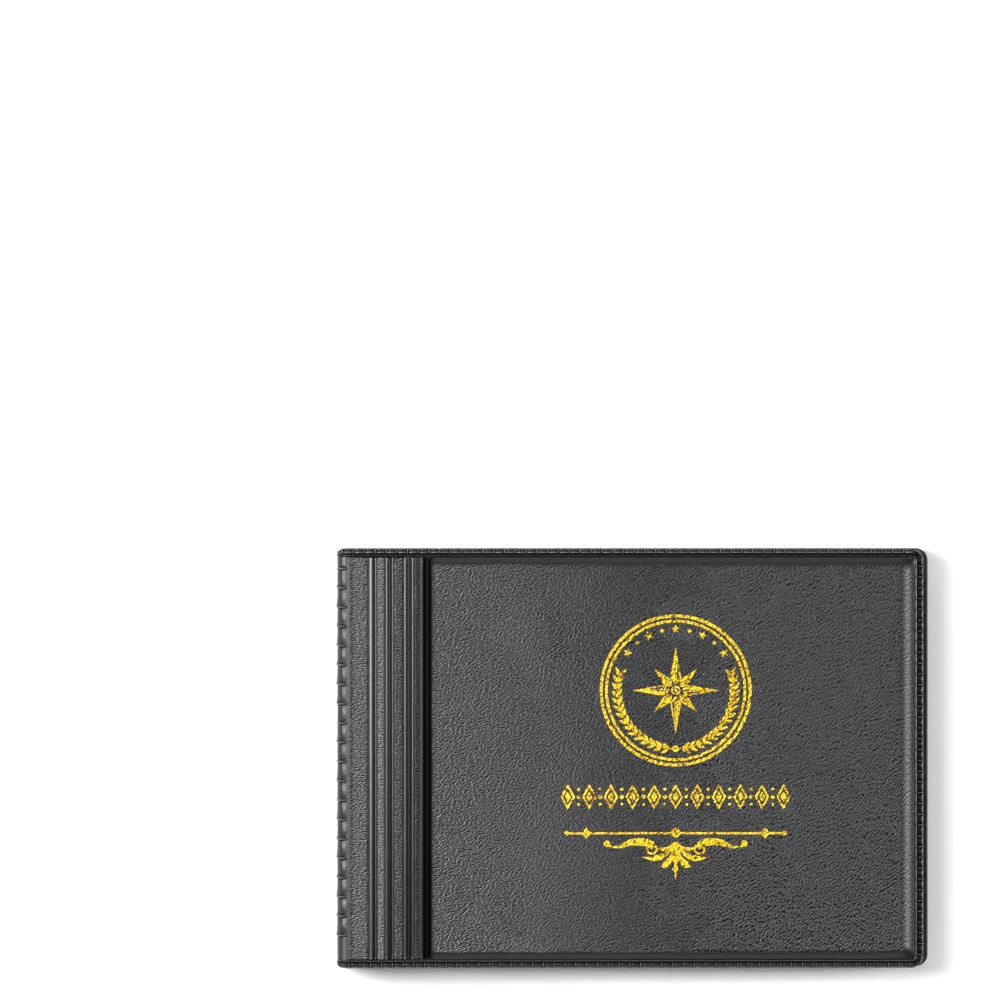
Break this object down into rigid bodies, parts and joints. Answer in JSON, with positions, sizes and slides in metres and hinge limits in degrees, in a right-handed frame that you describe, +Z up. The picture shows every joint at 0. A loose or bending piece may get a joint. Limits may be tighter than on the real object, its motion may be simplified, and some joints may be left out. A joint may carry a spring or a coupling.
{
  "type": "coin album",
  "caption": "Pocket-size padded vinyl coin album with a ribbed spine, embossed hinge strips, gold-stamped cover and hinged clear pocket pages.",
  "frame": {"origin": "centre of the closed album's footprint, on the plane that the back cover rests on", "axes": "+X from the spine to the fore-edge, +Y from the tail to the head of the cover, +Z up through the closed album, from the back cover to the front cover"},
  "size_m": [0.1484, 0.105, 0.0179],
  "materials": {
    "grained_vinyl": "satin",
    "lining_vinyl": "satin",
    "foam": "matte",
    "board": "matte",
    "spacer_board": "matte",
    "binding_plastic": "satin",
    "page_film": "gloss",
    "gold_foil": "gloss"
  },
  "bodies": {
    "back_cover": {"back_cover_skin": "grained_vinyl", "back_cover_foam": "foam", "back_cover_board": "board", "back_cover_lining": "lining_vinyl"},
    "spine": {"spine_skin": "grained_vinyl", "spine_board": "board", "spine_lining": "lining_vinyl", "binding_channel": "binding_plastic", "spacer_strips": "spacer_board", "page_margins": "page_film"},
    "front_cover": {"front_cover_skin": "grained_vinyl", "front_cover_foam": "foam", "front_cover_board": "board", "front_cover_lining": "lining_vinyl", "foil_stamp": "gold_foil"},
    "page_01": {"page_01_backing": "page_film", "page_01_pockets": "page_film"},
    "page_02": {"page_02_backing": "page_film", "page_02_pockets": "page_film"},
    "page_03": {"page_03_backing": "page_film", "page_03_pockets": "page_film"},
    "page_04": {"page_04_backing": "page_film", "page_04_pockets": "page_film"},
    "page_05": {"page_05_backing": "page_film", "page_05_pockets": "page_film"},
    "page_06": {"page_06_backing": "page_film", "page_06_pockets": "page_film"},
    "page_07": {"page_07_backing": "page_film", "page_07_pockets": "page_film"},
    "page_08": {"page_08_backing": "page_film", "page_08_pockets": "page_film"},
    "page_09": {"page_09_backing": "page_film", "page_09_pockets": "page_film"},
    "page_10": {"page_10_backing": "page_film", "page_10_pockets": "page_film"}
  },
  "joints": [
    {"name": "spine_hinge", "type": "hinge", "parent": "back_cover", "child": "spine", "pos_m": [-0.072, 0, 0.00186], "axis": [0, -1, 0], "range_deg": [0, 90]},
    {"name": "front_cover_hinge", "type": "hinge", "parent": "spine", "child": "front_cover", "pos_m": [-0.072, 0, 0.01664], "axis": [0, -1, 0], "range_deg": [0, 91.5]},
    {"name": "page_01_turn", "type": "hinge", "parent": "spine", "child": "page_01", "pos_m": [-0.0619, 0, 0.01426], "axis": [0, -1, 0], "range_deg": [0, 95]},
    {"name": "page_02_turn", "type": "hinge", "parent": "spine", "child": "page_02", "pos_m": [-0.061, 0, 0.01307], "axis": [0, -1, 0], "range_deg": [0, 94.9]},
    {"name": "page_03_turn", "type": "hinge", "parent": "spine", "child": "page_03", "pos_m": [-0.0601, 0, 0.01188], "axis": [0, -1, 0], "range_deg": [0, 94.8]},
    {"name": "page_04_turn", "type": "hinge", "parent": "spine", "child": "page_04", "pos_m": [-0.0592, 0, 0.0107], "axis": [0, -1, 0], "range_deg": [0, 94.8]},
    {"name": "page_05_turn", "type": "hinge", "parent": "spine", "child": "page_05", "pos_m": [-0.0583, 0, 0.00953], "axis": [0, -1, 0], "range_deg": [0, 94.7]},
    {"name": "page_06_turn", "type": "hinge", "parent": "spine", "child": "page_06", "pos_m": [-0.0583, 0, 0.00837], "axis": [0, -1, 0], "range_deg": [-93.2, 0]},
    {"name": "page_07_turn", "type": "hinge", "parent": "spine", "child": "page_07", "pos_m": [-0.0592, 0, 0.00722], "axis": [0, -1, 0], "range_deg": [-93.3, 0]},
    {"name": "page_08_turn", "type": "hinge", "parent": "spine", "child": "page_08", "pos_m": [-0.0601, 0, 0.00606], "axis": [0, -1, 0], "range_deg": [-93.3, 0]},
    {"name": "page_09_turn", "type": "hinge", "parent": "spine", "child": "page_09", "pos_m": [-0.061, 0, 0.0049], "axis": [0, -1, 0], "range_deg": [-93.4, 0]},
    {"name": "page_10_turn", "type": "hinge", "parent": "spine", "child": "page_10", "pos_m": [-0.0619, 0, 0.00373], "axis": [0, -1, 0], "range_deg": [-93.5, 0]}
  ],
  "couplings": [
    {"joint": "page_01_turn", "follows": "front_cover_hinge", "ratio": 1.038},
    {"joint": "page_02_turn", "follows": "front_cover_hinge", "ratio": 1.037},
    {"joint": "page_03_turn", "follows": "front_cover_hinge", "ratio": 1.036},
    {"joint": "page_04_turn", "follows": "front_cover_hinge", "ratio": 1.035},
    {"joint": "page_05_turn", "follows": "front_cover_hinge", "ratio": 1.034},
    {"joint": "page_06_turn", "follows": "spine_hinge", "ratio": -1.0346},
    {"joint": "page_07_turn", "follows": "spine_hinge", "ratio": -1.0356},
    {"joint": "page_08_turn", "follows": "spine_hinge", "ratio": -1.0366},
    {"joint": "page_09_turn", "follows": "spine_hinge", "ratio": -1.0376},
    {"joint": "page_10_turn", "follows": "spine_hinge", "ratio": -1.0386}
  ]
}
